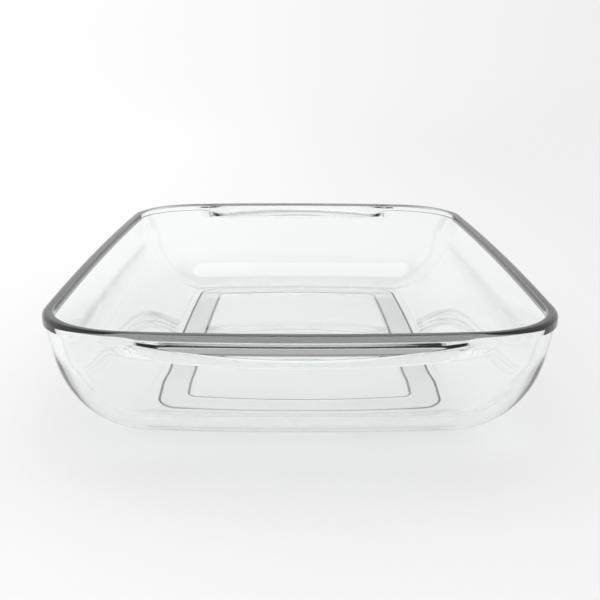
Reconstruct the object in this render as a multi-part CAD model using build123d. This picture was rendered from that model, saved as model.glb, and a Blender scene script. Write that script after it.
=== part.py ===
from build123d import *
import math
import os

# Pressed-glass lasagna dish, in millimetres. The long axis lies along Y, the width along X and
# the height along Z. The origin is the centre of the foot ring's resting plane.

# Rim, as the lip's outer outline in plan. The sides and the ends bow out between the centres of
# the corners.
rim_length = 354.0
rim_width = 240.0
corner_radius = 47.0
side_bow = 2.2
end_bow = 3.6

# Height of the whole dish and thickness of its floor
dish_height = 62.0
floor_thickness = 6.0

# Lip, a rounded bead that runs round the opening
lip_width = 4.6
lip_height = 5.2
lip_overhang = 0.9
lip_outer_round = 2.4
lip_inner_ease = 0.9
lip_under_ease = 0.8

# Wall below the lip. Both faces lean in by one angle, sweep round to a second angle and meet
# the floor just outside the centres of the corners. The angles are in degrees, and the radii are
# shares of the corner's.
wall_lean = 12.0
toe_slope = 18.0
outer_sweep_share = 1.17
inner_sweep_share = 0.98
toe_round_share = 0.17
toe_flat = 0.4
core_clearance = 0.3
floor_overlap = 3.0

# Foot ring, a flat band under the floor, set in from the centres of the corners
foot_height = 2.0
foot_width = 14.0
foot_setback = 6.0
foot_corner_radius = 6.0
foot_edge_ease = 0.6

# Lugs, one at each end, to hold the dish by. Each is the end of a plate that runs round inside
# the wall, and its front is an arc that blends into the wall on both sides.
lug_span_share = 0.617
lug_projection = 18.0
lug_thickness = 5.9
lug_drop = 2.6
lug_top_round = 2.4
lug_under_ease = 1.2
lug_blend_radius = 45.0
lug_root = 6.0
plate_outer_share = 0.6
plate_inner_share = 0.8

# Levels, and insets from the lip's outer outline, that follow from the sizes above
lip_underside = dish_height - lip_height
floor_level = foot_height + floor_thickness
lean_rate = math.tan(math.radians(wall_lean))
toe_rate = math.tan(math.radians(toe_slope))
toe_round = toe_round_share * corner_radius
section_reach = corner_radius - core_clearance
toe_inset = section_reach - toe_flat - toe_round * math.tan(math.radians(toe_slope) / 2)
foot_inset = corner_radius + foot_setback
lug_top = dish_height - lug_drop
lug_underside = lug_top - lug_thickness


def core():
    """Plan face whose sharp corners are the centres of the dish's corners."""
    half_width = rim_width / 2 - corner_radius
    half_length = rim_length / 2 - corner_radius
    corner_x = half_width - side_bow
    corner_y = half_length - end_bow
    sides = [
        ThreePointArc((corner_x, -corner_y), (half_width, 0), (corner_x, corner_y)),
        ThreePointArc((corner_x, corner_y), (0, half_length), (-corner_x, corner_y)),
        ThreePointArc((-corner_x, corner_y), (-half_width, 0), (-corner_x, -corner_y)),
        ThreePointArc((-corner_x, -corner_y), (0, -half_length), (corner_x, -corner_y)),
    ]
    return make_face(sides)


def outline(inset):
    """Plan face of the dish, moved in from the lip's outer outline by the inset."""
    return offset(core(), corner_radius - inset)


def at(inset, level):
    """Point of the wall's section, whose own axes are the way out from the core and the height."""
    return corner_radius - inset, level


def nearest(sketch, point):
    """Vertex of the sketch that lies closest to the point."""
    return sketch.vertices().sort_by_distance(point)[0]


def heel(start, flat):
    """Point where a face of the wall, leaning in from its start, meets the slope to its flat."""
    drop = lip_underside - flat - toe_rate * (toe_inset - start)
    fall = drop / (1 - toe_rate * lean_rate)
    return at(start + lean_rate * fall, lip_underside - fall)


def section():
    """Section of the lip and the wall, out to where the floor begins."""
    lip_toe = at(0, lip_underside)
    brim = at(0, dish_height)
    mouth = at(lip_width, dish_height)
    inside_heel = heel(lip_width, floor_level)
    inside_toe = at(toe_inset, floor_level)
    outside_heel = heel(lip_overhang, foot_height)
    outside_toe = at(toe_inset, foot_height)
    corners = [
        lip_toe,
        brim,
        mouth,
        at(lip_width, lip_underside),
        inside_heel,
        inside_toe,
        at(section_reach, floor_level),
        at(section_reach, foot_height),
        outside_toe,
        outside_heel,
        at(lip_overhang, lip_underside),
    ]
    glass = make_face(Polyline(*corners, close=True))
    glass = fillet(nearest(glass, outside_heel), outer_sweep_share * corner_radius)
    glass = fillet(nearest(glass, inside_heel), inner_sweep_share * corner_radius)
    glass = fillet(nearest(glass, outside_toe), toe_round)
    glass = fillet(nearest(glass, inside_toe), toe_round)
    glass = fillet(nearest(glass, brim), lip_outer_round)
    glass = chamfer(nearest(glass, mouth), lip_inner_ease)
    return chamfer(nearest(glass, lip_toe), lip_under_ease)


def walls():
    """Lip and walls: the section carried round the lip's outer outline."""
    path = outline(0).faces()[0].outer_wire()
    along = path % 0
    start = Plane(origin=path @ 0, x_dir=along.cross(Vector(0, 0, 1)), z_dir=-along)
    return sweep(start * Pos(-corner_radius) * section(), path=path)


def base():
    """Floor inside the walls, on a flat foot ring with a recess inside it."""
    slab = Pos(0, 0, foot_height) * extrude(outline(section_reach - floor_overlap), floor_thickness)
    ring = extrude(fillet(outline(foot_inset).vertices(), foot_corner_radius), foot_height)
    ring = chamfer(ring.edges().group_by(Axis.Z)[0], foot_edge_ease)
    return slab + ring - extrude(outline(foot_inset + foot_width), foot_height)


def lug_face():
    """Plan of one lug: a round front over a straight root that lies inside the dish's outline."""
    half_span = lug_span_share * rim_width / 2
    bow_share = half_span / (rim_width / 2 - corner_radius)
    rise = lug_projection + end_bow * bow_share**2
    front_radius = (half_span**2 + rise**2) / (2 * rise)
    tip = rim_length / 2 + lug_projection
    root = tip - rise - lug_root
    half_root = math.sqrt(front_radius**2 - (front_radius - rise - lug_root) ** 2)
    front = ThreePointArc((-half_root, root), (0, tip), (half_root, root))
    return make_face([front, Line((half_root, root), (-half_root, root))])


def lug_plate():
    """Flat plate under the lip, inside the wall but for the lugs that it ends in."""
    lug = lug_face()
    plan = outline(lip_width * plate_outer_share) + lug + mirror(lug, Plane.XZ)
    plan = offset(offset(plan, lug_blend_radius), -lug_blend_radius)
    plate = Pos(0, 0, lug_underside) * extrude(plan, lug_thickness)
    plate = fillet(plate.edges().group_by(Axis.Z)[-1], lug_top_round)
    plate = chamfer(plate.edges().group_by(Axis.Z)[0], lug_under_ease)
    return plate - extrude(outline(lip_width * plate_inner_share), dish_height)


def glass_dish():
    """The whole dish, pressed in one piece."""
    return walls() + base() + lug_plate()


os.makedirs("parts", exist_ok=True)
dish = glass_dish()
print("glass_dish", round(dish.volume), dish.is_valid, len(dish.solids()))
export_step(dish, "parts/glass_dish.step")
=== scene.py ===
"""Studio scene of a clear pressed-glass lasagna dish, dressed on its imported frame.

Sizes are in metres, in the frame's own axes: X across the dish, Y along it, Z up.
"""

import logging
import math
from dataclasses import dataclass, field
from enum import Enum
from typing import Iterable, Union

import bpy
from mathutils import Matrix, Vector

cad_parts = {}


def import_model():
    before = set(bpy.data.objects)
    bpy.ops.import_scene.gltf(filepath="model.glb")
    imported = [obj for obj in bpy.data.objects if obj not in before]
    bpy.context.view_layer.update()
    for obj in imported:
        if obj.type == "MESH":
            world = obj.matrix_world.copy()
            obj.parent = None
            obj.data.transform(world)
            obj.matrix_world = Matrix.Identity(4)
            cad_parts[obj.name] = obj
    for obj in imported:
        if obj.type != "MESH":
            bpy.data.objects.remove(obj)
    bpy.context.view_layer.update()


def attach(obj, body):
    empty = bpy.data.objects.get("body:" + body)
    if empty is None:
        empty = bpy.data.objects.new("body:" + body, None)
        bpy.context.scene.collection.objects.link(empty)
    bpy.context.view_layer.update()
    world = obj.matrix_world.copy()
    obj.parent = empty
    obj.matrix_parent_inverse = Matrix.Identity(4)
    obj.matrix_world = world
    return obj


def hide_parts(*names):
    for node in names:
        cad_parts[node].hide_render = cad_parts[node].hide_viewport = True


log = logging.getLogger("lasagna_dish")

Socket = bpy.types.NodeSocket
Value = Union[float, Socket]
Point = tuple[float, float]
Span = tuple[float, float]
SocketPair = tuple[Socket, Socket]


class StationKind(Enum):
    """What a stretch of the rim is, as the section is carried round it."""

    SIDE = "side"
    CORNER = "corner"
    END = "end"


class Stored(Enum):
    """What the blank carries at each of its points, for the node tree to read."""

    STATION = "station"
    PLAIN = "plain"
    LUGGED = "lugged"
    DRAWN = "drawn"


class Wiring:
    """Adds nodes to a tree and links them, so that a rule reads as one line a step."""

    def __init__(self, tree: bpy.types.NodeTree) -> None:
        """Keeps the tree that the nodes go into."""
        self.tree = tree

    def node(self, kind: str, **settings: object) -> bpy.types.Node:
        """Adds one node.

        Args:
            kind: The node's type name.
            **settings: Properties to set on it.

        Returns:
            The new node.
        """
        made = self.tree.nodes.new(kind)
        for name, value in settings.items():
            setattr(made, name, value)
        return made

    def feed(self, socket: Socket, value: object) -> None:
        """Links a socket to another, or sets its own value.

        Args:
            socket: The input to feed.
            value: The output to link it to, or the value to set on it.
        """
        if isinstance(value, bpy.types.NodeSocket):
            self.tree.links.new(value, socket)
        else:
            socket.default_value = value

    def math(self, operation: str, *values: Value) -> Socket:
        """Adds a Math node.

        Args:
            operation: The node's operation.
            *values: Its inputs in order.

        Returns:
            Its result.
        """
        made = self.node("ShaderNodeMath", operation=operation)
        for socket, value in zip(made.inputs, values):
            self.feed(socket, value)
        return made.outputs[0]

    def blend(self, share: Value, low: Value, high: Value) -> Socket:
        """Adds a Mix node that goes from low to high as the share goes from 0 to 1.

        Args:
            share: How much of the high value there is.
            low: The value at a share of 0.
            high: The value at a share of 1.

        Returns:
            The mixed value.
        """
        made = self.node("ShaderNodeMix", data_type="FLOAT")
        for name, value in (("Factor", share), ("A", low), ("B", high)):
            self.feed(made.inputs[name], value)
        return made.outputs["Result"]

    def smooth_step(self, value: Value, low: Value, high: Value) -> Socket:
        """Adds a Map Range node that goes smoothly from 0 at low to 1 at high.

        Args:
            value: The value to map.
            low: Where the result is 0. It may be the larger of the two.
            high: Where the result is 1.

        Returns:
            The share, between 0 and 1.
        """
        made = self.node("ShaderNodeMapRange", interpolation_type="SMOOTHSTEP")
        for name, given in (("Value", value), ("From Min", low), ("From Max", high)):
            self.feed(made.inputs[name], given)
        return made.outputs["Result"]

    def vector_of(self, x: Value, y: Value, z: Value) -> Socket:
        """Adds a Combine XYZ node.

        Args:
            x: The vector's first part.
            y: Its second part.
            z: Its third part.

        Returns:
            The vector.
        """
        made = self.node("ShaderNodeCombineXYZ")
        for socket, value in zip(made.inputs, (x, y, z)):
            self.feed(socket, value)
        return made.outputs[0]

    def parts_of(self, vector: Socket) -> tuple[Socket, Socket, Socket]:
        """Adds a Separate XYZ node.

        Args:
            vector: The vector to take apart.

        Returns:
            Its three parts.
        """
        made = self.node("ShaderNodeSeparateXYZ")
        self.feed(made.inputs[0], vector)
        return tuple(made.outputs)


@dataclass(frozen=True)
class Corner:
    """One corner of a section's outline.

    The first two fields place it, as the way out from the rim's core and the level. The others
    are the radius of its rounding, the steps that the rounding takes, and the steps of the
    straight run that leads to it.
    """

    out: float
    level: float
    radius: float = 0.0
    turns: int = 0
    run: int = 1

    def at(self) -> Vector:
        """The corner's place in the section's plane."""
        return Vector((self.out, self.level))


def rounded(before: Corner, corner: Corner, after: Corner) -> list[Vector]:
    """Points of one corner's rounding.

    Args:
        before: The corner that the outline comes from.
        corner: The corner to round.
        after: The corner that the outline goes on to.

    Returns:
        The arc's points in order, or the bare corner where it has no radius.
    """
    if not corner.radius:
        return [corner.at()]
    back = (before.at() - corner.at()).normalized()
    on = (after.at() - corner.at()).normalized()
    half = back.angle(on) / 2
    centre = corner.at() + (back + on).normalized() * corner.radius / math.sin(half)
    tangent = corner.radius / math.tan(half)
    first, last = (corner.at() + way * tangent - centre for way in (back, on))
    start = math.atan2(first.y, first.x)
    swept = (math.atan2(last.y, last.x) - start + math.pi) % math.tau - math.pi
    turns = [start + swept * step / corner.turns for step in range(corner.turns + 1)]
    return [centre + Vector((math.cos(turn), math.sin(turn))) * corner.radius for turn in turns]


def traced(corners: list[Corner]) -> list[Vector]:
    """Outline through the corners, with its roundings and with points along its runs.

    Args:
        corners: The outline's corners in order. The first and last aren't rounded.

    Returns:
        The outline's points in order.
    """
    points = [corners[0].at()]
    bends = [rounded(*three) for three in zip(corners, corners[1:], corners[2:])]
    for corner, bend in zip(corners[1:], [*bends, [corners[-1].at()]]):
        start = points[-1]
        points += [start.lerp(bend[0], step / corner.run) for step in range(1, corner.run)]
        points += bend
    return points


def carried(corners: list[Corner], values: list[float]) -> list[float]:
    """Values at the points of traced(), from one at each corner.

    Args:
        corners: The outline's corners.
        values: The value at each corner. It holds over the corner's rounding.

    Returns:
        The values in order, changing evenly along the straight runs.
    """
    spread = [values[0]]
    for corner, before, value in zip(corners[1:], values, values[1:]):
        spread += [before + (value - before) * step / corner.run for step in range(1, corner.run)]
        spread += [value] * (corner.turns + 1 if corner.radius else 1)
    return spread


@dataclass(frozen=True)
class SectionPoint:
    """One point of the glass's section, as it is along the wall and as it is at a lug.

    At a lug the point is moved out by its push, and up by its lift, for each unit that the lug
    stands out. The last two fields draw the foot's outline in from the rim's core.
    """

    out: float
    level: float
    lug_out: float
    lug_level: float
    push: float = 0.0
    lift: float = 0.0
    drawn_x: float = 0.0
    drawn_y: float = 0.0


@dataclass(frozen=True)
class RimPlan:
    """The dish in plan: a lip outline with round corners between bowed sides and ends."""

    length: float = 0.354
    width: float = 0.240
    corner_radius: float = 0.047
    side_bow: float = 0.0022
    end_bow: float = 0.0036
    side_steps: int = 72
    end_steps: int = 72
    corner_steps: int = 32

    def stretch(self, kind: StationKind, across: float, along: float) -> list[Vector]:
        """Stations of one side, corner or end, without its last one.

        Args:
            kind: Which of the three it is.
            across: The sign of the side that it starts from, along X.
            along: The sign of the end that it starts from, along Y.

        Returns:
            Vectors that hold the share of the core's half width, the share of its half
            length, and the share of the turn from a side's direction to an end's.
        """
        if kind is StationKind.SIDE:
            shares = [along * (1 - 2 * i / self.side_steps) for i in range(self.side_steps)]
            return [Vector((across, share, 0)) for share in shares]
        if kind is StationKind.END:
            shares = [across * (1 - 2 * i / self.end_steps) for i in range(self.end_steps)]
            return [Vector((share, along, 1)) for share in shares]
        turns = [i / self.corner_steps for i in range(self.corner_steps)]
        if across * along < 0:
            turns = [1 - turn for turn in turns]
        return [Vector((across, along, turn)) for turn in turns]

    def stations(self) -> list[Vector]:
        """All stations once round the rim, anticlockwise from above.

        Returns:
            The stations' vectors, as stretch() gives them.
        """
        order = [
            (StationKind.SIDE, 1, -1),
            (StationKind.CORNER, 1, 1),
            (StationKind.END, 1, 1),
            (StationKind.CORNER, -1, 1),
            (StationKind.SIDE, -1, 1),
            (StationKind.CORNER, -1, -1),
            (StationKind.END, -1, -1),
            (StationKind.CORNER, 1, -1),
        ]
        return [station for stretch in order for station in self.stretch(*stretch)]


@dataclass(frozen=True)
class EndLug:
    """The flat lug at each end of the dish.

    The fall of its top and the rise of its underside are slopes. The section turns from its
    plain form to the lug's while the lug comes to stand out by the fade, and no lug begins
    nearer to the dish's middle than the root. The turns and runs are the steps of its section's
    roundings and of the straight stretches that lead to them.
    """

    half_span: float = 0.07404
    projection: float = 0.018
    thickness: float = 0.0051
    drop: float = 0.0034
    crown_back: float = 0.0003
    crown_round: float = 0.00197
    crease_out: float = 0.00402
    crease_round: float = 0.001
    front_round: float = 0.00112
    under_round: float = 0.00201
    under_crease: float = 0.0025
    top_fall: float = 0.05447
    under_rise: float = 0.10916
    blend: float = 0.0066
    fade: float = 0.008
    root: float = 0.150
    crown_turns: int = 6
    crease_run: int = 2
    crease_turns: int = 8
    top_run: int = 14
    front_turns: int = 9
    front_run: int = 3
    under_turns: int = 8
    under_run: int = 12
    root_turns: int = 6

    def rise(self, plan: RimPlan) -> float:
        """How far the lug's tip stands out past the points where its front leaves the lip."""
        bow_share = self.half_span / (plan.width / 2 - plan.corner_radius)
        return self.projection + plan.end_bow * bow_share**2

    def front_radius(self, plan: RimPlan) -> float:
        """Radius of the lug's front in plan."""
        rise = self.rise(plan)
        return (self.half_span**2 + rise**2) / (2 * rise)


@dataclass(frozen=True)
class GlassSection:
    """The section of lip, wall, floor and foot that is carried round the rim.

    The lean and the toe's slope are in degrees. The foot's lead and flat, beside and under its
    edges, are in units of its ease. The turns and runs are the steps of the roundings and of the
    straight stretches that lead to them.
    """

    height: float = 0.062
    lip_width: float = 0.00488
    lip_height: float = 0.0052
    lip_overhang: float = 0.0009
    lip_round: float = 0.0022
    mouth_round: float = 0.00115
    lip_ease: float = 0.0005
    lip_crease: float = 0.0004
    lean: float = 12.0
    toe_slope: float = 18.0
    outer_sweep: float = 0.048
    inner_sweep: float = 0.04606
    toe_round: float = 0.009
    toe_out: float = 0.00197
    core_out: float = 0.0003
    floor_thickness: float = 0.006
    foot_height: float = 0.002
    foot_width: float = 0.0135
    foot_side_inset: float = 0.049
    foot_end_inset: float = 0.051
    foot_corner: float = 0.012
    recess_corner: float = 0.005
    foot_ease: float = 0.0008
    foot_draft: float = 0.0002
    foot_lead: float = 2.0
    foot_flat: float = 3.0
    toe_turns: int = 6
    toe_run: int = 4
    sweep_turns: int = 30
    inner_run: int = 14
    mouth_turns: int = 7
    brim_turns: int = 11
    lip_run: int = 26
    ease_turns: int = 5
    overhang_run: int = 2
    crease_turns: int = 3
    outer_run: int = 8

    def heel(self, out: float, level: float, flat: float) -> Point:
        """Where a face of the wall, leaning in from its start, meets the slope to its flat.

        Args:
            out: The start's way out from the core.
            level: The start's level.
            flat: The level of the floor or underside that the face runs into.

        Returns:
            The heel's way out and level.
        """
        lean, toe = math.tan(math.radians(self.lean)), math.tan(math.radians(self.toe_slope))
        fall = (level - flat - toe * (out - self.toe_out)) / (1 - toe * lean)
        return out - lean * fall, level - fall

    def points(self, plan: RimPlan, lug: EndLug) -> list[SectionPoint]:
        """The whole section, from the floor inside, over the lip, to the recess underneath.

        Args:
            plan: The dish in plan, for the corner that the section turns about.
            lug: The lug, for the section's form at the dish's ends.

        Returns:
            The section's points in order.
        """
        edge = plan.corner_radius
        return self.inside(edge) + self.outside(edge, lug) + self.foot(edge)

    def crown(self, edge: float) -> tuple[Point, Point]:
        """The crown's two ends before rounding: the mouth and the brim."""
        return (edge - self.lip_width, self.height), (edge, self.height)

    def inside(self, edge: float) -> list[SectionPoint]:
        """Floor, inner wall and the mouth, up to the crown of the lip.

        Args:
            edge: The lip's way out from the core.

        Returns:
            The points in order.
        """
        floor = self.foot_height + self.floor_thickness
        mouth, brim = self.crown(edge)
        line = traced([
            Corner(self.core_out, floor),
            Corner(self.toe_out, floor, self.toe_round, self.toe_turns),
            Corner(*self.heel(*mouth, floor), self.inner_sweep, self.sweep_turns, self.toe_run),
            Corner(*mouth, self.mouth_round, self.mouth_turns, self.inner_run),
            Corner(*brim),
        ])[:-1]
        return [SectionPoint(*point, *point) for point in line]

    def outside(self, edge: float, lug: EndLug) -> list[SectionPoint]:
        """Outer half of the lip, the lug, and the outer wall.

        The plain form has fewer points than the lug's, so its wall gets the rest of them.

        Args:
            edge: The lip's way out from the core.
            lug: The lug.

        Returns:
            The points in order.
        """
        mouth, brim = self.crown(edge)
        under = self.height - self.lip_height
        wall = (edge - self.lip_overhang, under)
        heel_at = self.heel(*wall, self.foot_height)
        heel = Corner(*heel_at, self.outer_sweep, self.sweep_turns, self.outer_run)
        lugged, pushes, lifts = self.lug_line(edge, lug, heel)
        plain = traced([
            Corner(*mouth),
            Corner(*brim, self.lip_round, self.brim_turns),
            Corner(edge, under, self.lip_ease, self.ease_turns, self.lip_run),
            Corner(*wall, self.lip_crease, self.crease_turns, self.overhang_run),
            Corner(heel.out, heel.level),
        ])[1:-1]
        rest = len(lugged) - len(plain)
        on_wall = [plain[-1].lerp(lugged[-1], step / rest) for step in range(1, rest + 1)]
        reach = lug.projection
        shaped = [
            SectionPoint(*bare, at.x - push * reach, at.y - lift * reach, push, lift)
            for bare, at, push, lift in zip([*plain, *on_wall], lugged, pushes, lifts)
        ]
        below = traced([
            Corner(*lugged[-1]),
            heel,
            Corner(self.toe_out, self.foot_height, self.toe_round, self.toe_turns, self.toe_run),
            Corner(self.core_out, self.foot_height),
        ])[1:-1]
        return shaped + [SectionPoint(*at, *at) for at in below]

    def lug_line(
        self, edge: float, lug: EndLug, heel: Corner
    ) -> tuple[list[Vector], list[float], list[float]]:
        """The lip and lug at the lug's full reach.

        Args:
            edge: The lip's way out from the core.
            lug: The lug.
            heel: Where the outer wall's line leads.

        Returns:
            The outline's points, the share of the lug's reach by which each is moved out, and
            the share of it by which each is lifted.
        """
        mouth, _ = self.crown(edge)
        tip, top = edge + lug.projection, self.height - lug.drop
        front_top = top - lug.top_fall * lug.projection
        base = top - lug.thickness
        root = base - lug.under_rise * lug.projection
        lean = math.tan(math.radians(self.lean))
        wall = edge - self.lip_overhang - lean * (self.height - self.lip_height - root)
        corners = [
            Corner(*mouth),
            Corner(edge - lug.crown_back, self.height, lug.crown_round, lug.crown_turns),
            Corner(edge + lug.crease_out, top, lug.crease_round, lug.crease_turns, lug.crease_run),
            Corner(tip, front_top, lug.front_round, lug.front_turns, lug.top_run),
            Corner(tip, base, lug.under_round, lug.under_turns, lug.front_run),
            Corner(wall, root, lug.under_crease, lug.root_turns, lug.under_run),
            Corner(heel.out, heel.level),
        ]
        pushes = carried(corners, [0, 0, 0, 1, 1, 0, 0])
        lifts = carried(corners, [0, 0, 0, -lug.top_fall, lug.under_rise, 0, 0])
        return traced(corners)[1:-1], pushes[1:-1], lifts[1:-1]

    def foot(self, edge: float) -> list[SectionPoint]:
        """Underside round the foot ring, the ring and the recess inside it.

        The ring and the recess turn about corners of their own, so their points are drawn in
        from the core.

        Args:
            edge: The lip's way out from the core.

        Returns:
            The points in order.
        """
        ease, top, draft = self.foot_ease, self.foot_height, self.foot_draft
        outer, inner = self.foot_corner, self.recess_corner
        lead, flat = self.foot_lead * ease, self.foot_flat * ease
        outer_draw = [inset + outer - edge for inset in (self.foot_side_inset, self.foot_end_inset)]
        inner_draw = [draw + self.foot_width - outer + inner for draw in outer_draw]
        ring = traced([
            Corner(outer + draft + lead, top),
            Corner(outer + draft, top, ease, self.ease_turns),
            Corner(outer, 0.0, ease, self.ease_turns),
            Corner(outer - flat, 0.0),
        ])
        recess = traced([
            Corner(inner + flat, 0.0),
            Corner(inner, 0.0, ease, self.ease_turns),
            Corner(inner - draft, top, ease, self.ease_turns),
            Corner(inner - draft - flat, top),
        ])
        rows = [SectionPoint(self.core_out, top, self.core_out, top)]
        rows += [SectionPoint(*at, *at, 0.0, 0.0, *outer_draw) for at in ring]
        return rows + [SectionPoint(*at, *at, 0.0, 0.0, *inner_draw) for at in recess]


class RimCarry:
    """Geometry Nodes tree that carries the section round the rim and draws out the lugs."""

    SIZES = (
        "Rim Length",
        "Rim Width",
        "Corner Radius",
        "Side Bow",
        "End Bow",
        "Lug Tip",
        "Lug Front Radius",
        "Lug Blend",
        "Lug Fade",
        "Lug Root",
    )

    def __init__(self) -> None:
        """Builds the tree with its named inputs."""
        self.tree = bpy.data.node_groups.new("carry_section_round_rim", "GeometryNodeTree")
        face = self.tree.interface
        face.new_socket("Geometry", in_out="INPUT", socket_type="NodeSocketGeometry")
        for name in self.SIZES:
            face.new_socket(name, in_out="INPUT", socket_type="NodeSocketFloat")
        face.new_socket("Glass", in_out="INPUT", socket_type="NodeSocketMaterial")
        face.new_socket("Geometry", in_out="OUTPUT", socket_type="NodeSocketGeometry")
        self.wire = Wiring(self.tree)
        self.given = self.wire.node("NodeGroupInput").outputs
        self.build()

    def stored(self, what: Stored) -> tuple[Socket, Socket, Socket]:
        """Reads what is stored on the blank's points.

        Args:
            what: Which of the stored vectors it is.

        Returns:
            The vector's three parts.
        """
        made = self.wire.node("GeometryNodeInputNamedAttribute", data_type="FLOAT_VECTOR")
        made.inputs["Name"].default_value = what.value
        return self.wire.parts_of(made.outputs["Attribute"])

    def core_halves(self) -> SocketPair:
        """Half the core's width and length, at the middle of its sides and ends.

        Returns:
            The sockets of the two.
        """
        m, given = self.wire.math, self.given
        width = m("SUBTRACT", m("MULTIPLY", given["Rim Width"], 0.5), given["Corner Radius"])
        length = m("SUBTRACT", m("MULTIPLY", given["Rim Length"], 0.5), given["Corner Radius"])
        return width, length

    def core_point(self, halves: SocketPair, across: Socket, along: Socket) -> SocketPair:
        """Point of the bowed core at a station.

        Args:
            halves: The sockets of the core's half width and half length.
            across: The station's share of the core's half width.
            along: The station's share of the core's half length.

        Returns:
            The sockets of its X and Y.
        """
        m, given = self.wire.math, self.given
        side_draw = m("MULTIPLY", given["Side Bow"], m("POWER", along, 2.0))
        end_draw = m("MULTIPLY", given["End Bow"], m("POWER", across, 2.0))
        x = m("MULTIPLY", across, m("SUBTRACT", halves[0], side_draw))
        y = m("MULTIPLY", along, m("SUBTRACT", halves[1], end_draw))
        return x, y

    def outward(
        self, halves: SocketPair, across: Socket, along: Socket, turn: Socket
    ) -> SocketPair:
        """Direction straight out of the rim at a station.

        Args:
            halves: The sockets of the core's half width and half length.
            across: The station's share of the core's half width.
            along: The station's share of the core's half length.
            turn: Its share of the turn from a side's direction to an end's.

        Returns:
            The sockets of its X and Y.
        """
        m, given = self.wire.math, self.given
        wide, long = m("ABSOLUTE", across), m("ABSOLUTE", along)
        corner_x = m("SUBTRACT", halves[0], given["Side Bow"])
        corner_y = m("SUBTRACT", halves[1], given["End Bow"])
        side_rise = m("MULTIPLY", m("MULTIPLY", given["Side Bow"], long), 2.0)
        end_rise = m("MULTIPLY", m("MULTIPLY", given["End Bow"], wide), 2.0)
        side_angle = m("ARCTANGENT", m("DIVIDE", side_rise, corner_y))
        end_angle = m("SUBTRACT", math.pi / 2, m("ARCTANGENT", m("DIVIDE", end_rise, corner_x)))
        angle = self.wire.blend(turn, side_angle, end_angle)
        x = m("MULTIPLY", m("SIGN", across), m("COSINE", angle))
        y = m("MULTIPLY", m("SIGN", along), m("SINE", angle))
        return x, y

    def lug_reach(self, core: SocketPair, out: SocketPair, along: Socket) -> Socket:
        """How far the lug stands out of the lip's outline at a station, blended into it.

        Args:
            core: The sockets of the core's point.
            out: The sockets of the outward direction.
            along: The station's share of the core's half length.

        Returns:
            The socket of the lug's reach.
        """
        m, given = self.wire.math, self.given
        rim_x = m("ADD", core[0], m("MULTIPLY", out[0], given["Corner Radius"]))
        rim_y = m("ADD", core[1], m("MULTIPLY", out[1], given["Corner Radius"]))
        centre = m("SUBTRACT", given["Lug Tip"], given["Lug Front Radius"])
        centre_y = m("MULTIPLY", m("SIGN", along), centre)
        from_y = m("SUBTRACT", rim_y, centre_y)
        facing = m("ADD", m("MULTIPLY", rim_x, out[0]), m("MULTIPLY", from_y, out[1]))
        square = m("ADD", m("POWER", rim_x, 2.0), m("POWER", m("ABSOLUTE", from_y), 2.0))
        excess = m("SUBTRACT", square, m("POWER", given["Lug Front Radius"], 2.0))
        depth = m("MAXIMUM", m("SUBTRACT", m("POWER", m("ABSOLUTE", facing), 2.0), excess), 0.0)
        reach = m("SUBTRACT", m("SQRT", depth), facing)
        blended = m("SMOOTH_MAX", reach, 0.0, given["Lug Blend"])
        near_end = m("GREATER_THAN", m("ABSOLUTE", rim_y), given["Lug Root"])
        return m("MULTIPLY", blended, near_end)

    def build(self) -> None:
        """Wires the rule from the stored shares to the finished surface."""
        m, given = self.wire.math, self.given
        across, along, turn = self.stored(Stored.STATION)
        plain_out, plain_level, lift = self.stored(Stored.PLAIN)
        lug_out, lug_level, push = self.stored(Stored.LUGGED)
        draw_x, draw_y, _ = self.stored(Stored.DRAWN)
        halves = self.core_halves()
        core = self.core_point(halves, across, along)
        out = self.outward(halves, across, along, turn)
        reach = self.lug_reach(core, out, along)
        worn = self.wire.smooth_step(reach, 0.0, given["Lug Fade"])
        stand = m("ADD", self.wire.blend(worn, plain_out, lug_out), m("MULTIPLY", push, reach))
        level = m("ADD", self.wire.blend(worn, plain_level, lug_level), m("MULTIPLY", lift, reach))
        spot = [
            m("ADD", m("SUBTRACT", middle, m("MULTIPLY", draw, share)), m("MULTIPLY", way, stand))
            for middle, draw, share, way in zip(core, (draw_x, draw_y), (across, along), out)
        ]
        place = self.wire.node("GeometryNodeSetPosition")
        smooth = self.wire.node("GeometryNodeSetShadeSmooth")
        real = self.wire.node("GeometryNodeRealizeInstances")
        dress = self.wire.node("GeometryNodeSetMaterial")
        result = self.wire.node("NodeGroupOutput")
        self.wire.feed(place.inputs["Geometry"], given["Geometry"])
        self.wire.feed(place.inputs["Position"], self.wire.vector_of(*spot, level))
        self.wire.feed(smooth.inputs["Geometry"], place.outputs[0])
        self.wire.feed(real.inputs["Geometry"], smooth.outputs[0])
        self.wire.feed(dress.inputs["Geometry"], real.outputs[0])
        self.wire.feed(dress.inputs["Material"], given["Glass"])
        self.wire.feed(result.inputs["Geometry"], dress.outputs[0])

    def identifier(self, name: str) -> str:
        """Identifier of the tree's input with this name."""
        return next(
            item.identifier
            for item in self.tree.interface.items_tree
            if item.name == name and item.in_out == "INPUT"
        )


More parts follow.
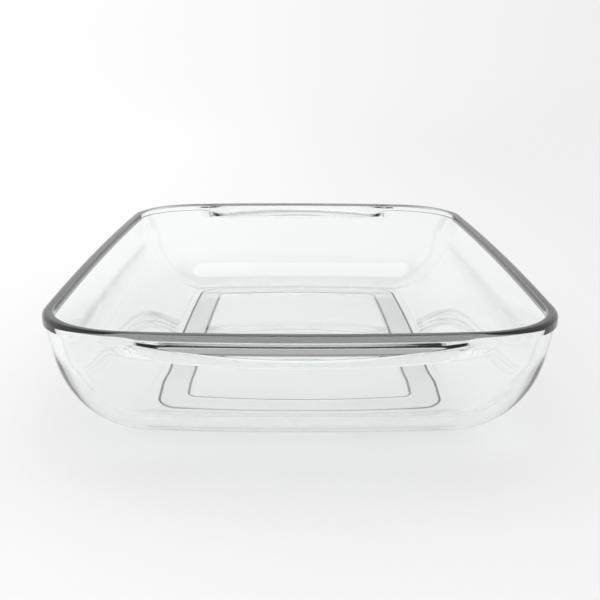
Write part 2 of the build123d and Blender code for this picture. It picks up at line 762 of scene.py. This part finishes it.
@dataclass(frozen=True)
class ClearGlass:
    """Fire-polished clear pressed glass, faintly green where it is looked through edge on.

    Its crown carries painted shade: a grey which stands for the dark surroundings that the edge of
    the lip reflects in the photograph. The spans are the two ends of a smooth change: of the way
    along the dish for the painted shade, of the noise for the haze, and of the level for the
    scuffs.
    """

    tint: tuple[float, float, float] = (0.985, 0.995, 0.99)
    ior: float = 1.5
    polish: float = 0.004
    haze: float = 0.03
    scuff: float = 0.22
    absorbed: tuple[float, float, float] = (0.62, 0.86, 0.78)
    density: float = 3.0
    wave_scale: float = 30.0
    wave_detail: float = 1.0
    wave_height: float = 0.00004
    shade: float = 0.985
    end_crown_painted_shade: tuple[float, float, float] = (0.10, 0.112, 0.118)
    side_crown_painted_shade: tuple[float, float, float] = (0.5, 0.525, 0.53)
    painted_shade_low: float = 0.0604
    painted_shade_lug_low: float = 0.0597
    painted_shade_edge: float = 0.0004
    painted_shade_end_span: Span = (0.150, 0.172)
    painted_shade_lug_span: Span = (0.1725, 0.1755)
    haze_scale: float = 14.0
    haze_detail: float = 4.0
    haze_span: Span = (0.45, 0.8)
    scuff_span: Span = (0.0001, 0.0005)

    def material(self) -> bpy.types.Material:
        """Builds the glass's material, through which shadow rays pass almost unshaded.

        Returns:
            The material.
        """
        mat = bpy.data.materials.new("clear_pressed_glass")
        mat.use_nodes = True
        mat.node_tree.nodes.clear()
        wire = Wiring(mat.node_tree)
        where = wire.node("ShaderNodeTexCoord").outputs["Object"]
        glass = wire.node("ShaderNodeBsdfPrincipled")
        wire.feed(glass.inputs["Base Color"], self.colour(wire, where))
        glass.inputs["IOR"].default_value = self.ior
        glass.inputs["Transmission Weight"].default_value = 1.0
        wire.feed(glass.inputs["Roughness"], self.roughness(wire, where))
        wire.feed(glass.inputs["Normal"], self.waviness(wire, where))
        open_way = wire.node("ShaderNodeBsdfTransparent")
        open_way.inputs["Color"].default_value = (self.shade, self.shade, self.shade, 1)
        choice = wire.node("ShaderNodeMixShader")
        wire.feed(choice.inputs[0], wire.node("ShaderNodeLightPath").outputs["Is Shadow Ray"])
        wire.feed(choice.inputs[1], glass.outputs[0])
        wire.feed(choice.inputs[2], open_way.outputs[0])
        body = wire.node("ShaderNodeVolumeAbsorption")
        body.inputs["Color"].default_value = (*self.absorbed, 1)
        body.inputs["Density"].default_value = self.density
        end = wire.node("ShaderNodeOutputMaterial")
        wire.feed(end.inputs["Surface"], choice.outputs[0])
        wire.feed(end.inputs["Volume"], body.outputs[0])
        return mat

    def colour(self, wire: Wiring, where: Socket) -> Socket:
        """Clear in the body, with the painted grey over the crown of the lip.

        The painted grey is painted shade, standing for the dark surroundings that the edge of the
        lip reflects. It is darker at the dish's ends than along its sides, and starts lower on the
        lugs.

        Args:
            wire: The material's wiring.
            where: The surface's place.

        Returns:
            The colour.
        """
        _, along, level = wire.parts_of(where)
        reach = wire.math("ABSOLUTE", along)
        end = wire.smooth_step(reach, *self.painted_shade_end_span)
        outer = wire.smooth_step(reach, *self.painted_shade_lug_span)
        low = wire.blend(outer, self.painted_shade_low, self.painted_shade_lug_low)
        # Painted shade: above this level the crown is greyed, for the dark surroundings that the
        # edge of the lip reflects.
        crown = wire.smooth_step(level, low, wire.math("ADD", low, self.painted_shade_edge))
        parts = [
            wire.blend(crown, clear, wire.blend(end, side_painted_shade, end_painted_shade))
            for clear, side_painted_shade, end_painted_shade in zip(self.tint, self.side_crown_painted_shade, self.end_crown_painted_shade)
        ]
        return wire.vector_of(*parts)

    def roughness(self, wire: Wiring, where: Socket) -> Socket:
        """Polish with patches of faint haze, scuffed on the foot ring.

        Args:
            wire: The material's wiring.
            where: The surface's place.

        Returns:
            The roughness.
        """
        cloud = wire.node("ShaderNodeTexNoise")
        cloud.inputs["Scale"].default_value = self.haze_scale
        cloud.inputs["Detail"].default_value = self.haze_detail
        wire.feed(cloud.inputs["Vector"], where)
        haze = wire.smooth_step(cloud.outputs["Fac"], *self.haze_span)
        faint = wire.blend(haze, self.polish, self.haze)
        level = wire.parts_of(where)[2]
        worn = wire.math("SUBTRACT", 1.0, wire.smooth_step(level, *self.scuff_span))
        return wire.blend(worn, faint, self.scuff)

    def waviness(self, wire: Wiring, where: Socket) -> Socket:
        """Gentle waves left by the mould.

        Args:
            wire: The material's wiring.
            where: The surface's place.

        Returns:
            The bent normal.
        """
        wave = wire.node("ShaderNodeTexNoise")
        wave.inputs["Scale"].default_value = self.wave_scale
        wave.inputs["Detail"].default_value = self.wave_detail
        wire.feed(wave.inputs["Vector"], where)
        bump = wire.node("ShaderNodeBump")
        bump.inputs["Strength"].default_value = 1.0
        bump.inputs["Distance"].default_value = self.wave_height
        wire.feed(bump.inputs["Height"], wave.outputs["Fac"])
        return bump.outputs["Normal"]


@dataclass
class GlassDish:
    """The dish itself: one piece of pressed glass."""

    plan: RimPlan = field(default_factory=RimPlan)
    lug: EndLug = field(default_factory=EndLug)
    section: GlassSection = field(default_factory=GlassSection)
    finish: ClearGlass = field(default_factory=ClearGlass)

    def blank(self) -> bpy.types.Object:
        """Closed net of stations and section points, with its shares stored on it.

        Returns:
            The net, still flat, which the node tree gives its shape.
        """
        stations = self.plan.stations()
        points = self.section.points(self.plan, self.lug)
        rows, count = len(points), len(stations)
        after = [(i + 1) % count for i in range(count)]
        faces = [
            (i * rows + j, i * rows + j + 1, after[i] * rows + j + 1, after[i] * rows + j)
            for i in range(count)
            for j in range(rows - 1)
        ]
        faces.append([i * rows for i in range(count)])
        faces.append([i * rows + rows - 1 for i in reversed(range(count))])
        mesh = bpy.data.meshes.new("pressed_glass_blank")
        flat = [(i, j, 0) for i in range(count) for j in range(rows)]
        mesh.from_pydata(flat, [], faces)
        stored = {
            Stored.STATION: [tuple(station) for station in stations for _ in points],
            Stored.PLAIN: [(p.out, p.level, p.lift) for _ in stations for p in points],
            Stored.LUGGED: [(p.lug_out, p.lug_level, p.push) for _ in stations for p in points],
            Stored.DRAWN: [(p.drawn_x, p.drawn_y, 0.0) for _ in stations for p in points],
        }
        for what, vectors in stored.items():
            layer = mesh.attributes.new(what.value, "FLOAT_VECTOR", "POINT")
            layer.data.foreach_set("vector", [part for vector in vectors for part in vector])
        blank = bpy.data.objects.new("pressed_glass_blank", mesh)
        bpy.context.scene.collection.objects.link(blank)
        return blank

    def build(self) -> bpy.types.Object:
        """Carries the section round the rim.

        Returns:
            The finished piece, as a plain mesh with its material.
        """
        blank = self.blank()
        carry = RimCarry()
        inputs = {
            "Rim Length": self.plan.length,
            "Rim Width": self.plan.width,
            "Corner Radius": self.plan.corner_radius,
            "Side Bow": self.plan.side_bow,
            "End Bow": self.plan.end_bow,
            "Lug Tip": self.plan.length / 2 + self.lug.projection,
            "Lug Front Radius": self.lug.front_radius(self.plan),
            "Lug Blend": self.lug.blend,
            "Lug Fade": self.lug.fade,
            "Lug Root": self.lug.root,
            "Glass": self.finish.material(),
        }
        modifier = blank.modifiers.new("carry", "NODES")
        modifier.node_group = carry.tree
        for name, value in inputs.items():
            modifier[carry.identifier(name)] = value
        seen = blank.evaluated_get(bpy.context.evaluated_depsgraph_get())
        mesh = bpy.data.meshes.new_from_object(seen)
        for what in Stored:
            mesh.attributes.remove(mesh.attributes[what.value])
        bpy.data.objects.remove(blank)
        mesh.name = "pressed_glass_dish"
        piece = bpy.data.objects.new("pressed_glass_dish", mesh)
        bpy.context.scene.collection.objects.link(piece)
        return piece


@dataclass(frozen=True)
class Studio:
    """Pale floor that runs into a white backdrop, a soft sun, and a surround for the glass.

    The sizes, the gap and the sweep's span are in metres, and the sun's spread is in degrees.
    The other spans are of one part of a direction. A tone has not begun at a span's first
    number, and is full at its second.
    """

    floor_size: float = 12.0
    floor_gap: float = 0.0002
    floor_colour: tuple[float, float, float] = (0.93, 0.93, 0.93)
    floor_roughness: float = 0.9
    floor_shine: float = 0.1
    sweep_span: Span = (0.6, 2.6)
    backdrop_left: float = 1.0
    backdrop_right: float = 0.87
    backdrop_span: Span = (-0.35, 0.4)
    ambient: float = 0.89
    upper: float = 0.36
    upper_span: Span = (0.48, 0.68)
    overhead: float = 0.85
    overhead_span: Span = (0.85, 0.97)
    flank_left: float = 1.0
    flank_right: float = 0.95
    flank_span: Span = (-0.3, 0.3)
    beside_span: Span = (0.35, 0.75)
    front: float = 1.0
    front_span: Span = (0.1, -0.4)
    sun_strength: float = 0.62
    sun_spread: float = 40.0
    sun_way: tuple[float, float, float] = (0.12, -0.06, -1.0)

    def backdrop_group(self) -> bpy.types.NodeTree:
        """Shader group for the backdrop's tone, from white on the left to pale on the right. On the
        floor this tone is painted light; in the world it is a light level.

        Returns:
            The group, with an input for the sideways part of the direction.
        """
        group = bpy.data.node_groups.new("backdrop_tone", "ShaderNodeTree")
        group.interface.new_socket("Across", in_out="INPUT", socket_type="NodeSocketFloat")
        group.interface.new_socket("Tone", in_out="OUTPUT", socket_type="NodeSocketFloat")
        wire = Wiring(group)
        across = wire.node("NodeGroupInput").outputs["Across"]
        share = wire.smooth_step(across, *self.backdrop_span)
        tone = wire.blend(share, self.backdrop_left, self.backdrop_right)
        wire.feed(wire.node("NodeGroupOutput").inputs["Tone"], tone)
        return group

    def tone_at(self, wire: Wiring, group: bpy.types.NodeTree, across: Socket) -> Socket:
        """Places the backdrop's group in a tree.

        Args:
            wire: The wiring of the tree.
            group: The backdrop's group.
            across: The sideways part of the direction.

        Returns:
            The backdrop's tone.
        """
        placed = wire.node("ShaderNodeGroup", node_tree=group)
        wire.feed(placed.inputs["Across"], across)
        return placed.outputs["Tone"]

    def floor(self, group: bpy.types.NodeTree) -> bpy.types.Object:
        """Builds the pale floor, whose colour is painted lighter on the left than on the right as
        painted light, and which turns into the backdrop far from the dish.

        Args:
            group: The backdrop's group.

        Returns:
            The floor.
        """
        half, level = self.floor_size / 2, -self.floor_gap
        mesh = bpy.data.meshes.new("studio_floor")
        signs = [(-1, -1), (1, -1), (1, 1), (-1, 1)]
        corners = [(x * half, y * half, level) for x, y in signs]
        mesh.from_pydata(corners, [], [(0, 1, 2, 3)])
        floor = bpy.data.objects.new("studio_floor", mesh)
        bpy.context.scene.collection.objects.link(floor)
        mat = bpy.data.materials.new("pale_floor")
        mat.use_nodes = True
        wire = Wiring(mat.node_tree)
        surface = mat.node_tree.nodes["Principled BSDF"]
        surface.inputs["Roughness"].default_value = self.floor_roughness
        surface.inputs["Specular IOR Level"].default_value = self.floor_shine
        where = wire.node("ShaderNodeTexCoord").outputs["Object"]
        # Painted light: the floor's colour is scaled by the backdrop's tone, lighter on the left
        # where the light falls brighter.
        floor_painted_light = self.tone_at(wire, group, wire.parts_of(where)[0])
        parts = [wire.math("MULTIPLY", floor_painted_light, part) for part in self.floor_colour]
        wire.feed(surface.inputs["Base Color"], wire.vector_of(*parts))
        away = wire.node("ShaderNodeVectorMath", operation="LENGTH")
        wire.feed(away.inputs[0], where)
        way = wire.node("ShaderNodeVectorMath", operation="NORMALIZE")
        wire.feed(way.inputs[0], where)
        # Far from the dish the floor glows in the backdrop's tone, which is painted lighter on the
        # left too.
        glow = wire.node("ShaderNodeEmission")
        tone = self.tone_at(wire, group, wire.parts_of(way.outputs[0])[0])
        wire.feed(glow.inputs["Color"], wire.vector_of(tone, tone, tone))
        sweep = wire.node("ShaderNodeMixShader")
        wire.feed(sweep.inputs[0], wire.smooth_step(away.outputs["Value"], *self.sweep_span))
        wire.feed(sweep.inputs[1], surface.outputs[0])
        wire.feed(sweep.inputs[2], glow.outputs[0])
        wire.feed(mat.node_tree.nodes["Material Output"].inputs["Surface"], sweep.outputs[0])
        mesh.materials.append(mat)
        return floor

    def sun(self) -> None:
        """Adds the soft sun, nearly overhead and a little to the left. No gloss mirrors it."""
        light = bpy.data.lights.new("soft_sun", "SUN")
        light.angle = math.radians(self.sun_spread)
        light.energy = self.sun_strength
        lamp = bpy.data.objects.new("soft_sun", light)
        lamp.rotation_euler = Vector(self.sun_way).to_track_quat("-Z", "Y").to_euler()
        lamp.visible_glossy = False
        bpy.context.scene.collection.objects.link(lamp)

    def surround(self, group: bpy.types.NodeTree) -> None:
        """Sets the world: plain light on what is matt, and a studio for the glass to show.

        Args:
            group: The backdrop's group.
        """
        world = bpy.data.worlds.new("studio_surround")
        bpy.context.scene.world = world
        world.use_nodes = True
        world.node_tree.nodes.clear()
        wire = Wiring(world.node_tree)
        x, y, z = wire.parts_of(wire.node("ShaderNodeTexCoord").outputs["Generated"])
        low = self.tone_at(wire, group, x)
        flank = wire.blend(wire.smooth_step(x, *self.flank_span), self.flank_left, self.flank_right)
        beside = wire.smooth_step(wire.math("ABSOLUTE", x), *self.beside_span)
        middle = wire.blend(wire.smooth_step(y, *self.front_span), self.upper, self.front)
        walls = wire.blend(beside, middle, flank)
        high = wire.blend(wire.smooth_step(z, *self.overhead_span), walls, self.overhead)
        seen = wire.blend(wire.smooth_step(z, *self.upper_span), low, high)
        matt = wire.node("ShaderNodeLightPath").outputs["Is Diffuse Ray"]
        tone = wire.blend(matt, seen, self.ambient)
        glow = wire.node("ShaderNodeBackground")
        wire.feed(glow.inputs["Color"], wire.vector_of(tone, tone, tone))
        end = wire.node("ShaderNodeOutputWorld")
        wire.feed(end.inputs["Surface"], glow.outputs[0])


@dataclass(frozen=True)
class PhotoCamera:
    """The photograph's view of the dish.

    Its place and near limit are in metres, its angles in degrees, its lens and sensor in
    millimetres.
    """

    place: tuple[float, float, float] = (-0.0043, -0.5419, 0.1741)
    pitch: float = 14.81
    yaw: float = -0.56
    roll: float = 0.25
    lens: float = 55.92
    sensor: float = 36.0
    near: float = 0.01

    def build(self) -> None:
        """Adds the camera and makes it the scene's."""
        data = bpy.data.cameras.new("photo_camera")
        data.sensor_fit = "HORIZONTAL"
        data.sensor_width = self.sensor
        data.lens = self.lens
        data.clip_start = self.near
        camera = bpy.data.objects.new("photo_camera", data)
        turn = Matrix.Rotation(math.radians(self.yaw), 4, "Z")
        tilt = Matrix.Rotation(math.radians(90 - self.pitch), 4, "X")
        twist = Matrix.Rotation(math.radians(self.roll), 4, "Z")
        camera.matrix_world = Matrix.Translation(self.place) @ turn @ tilt @ twist
        bpy.context.scene.collection.objects.link(camera)
        bpy.context.scene.camera = camera


def main() -> None:
    """Builds the camera, the dish and the studio in order."""
    logging.basicConfig(level=logging.INFO, format="%(name)s: %(message)s")
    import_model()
    bpy.context.scene.view_settings.view_transform = "Standard"
    PhotoCamera().build()
    dish = GlassDish()
    piece = dish.build()
    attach(piece, "root")
    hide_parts("glass_dish")
    log.info("%s has %d faces", piece.name, len(piece.data.polygons))
    studio = Studio()
    backdrop = studio.backdrop_group()
    studio.floor(backdrop)
    studio.sun()
    studio.surround(backdrop)


if __name__ == "__main__":
    main()
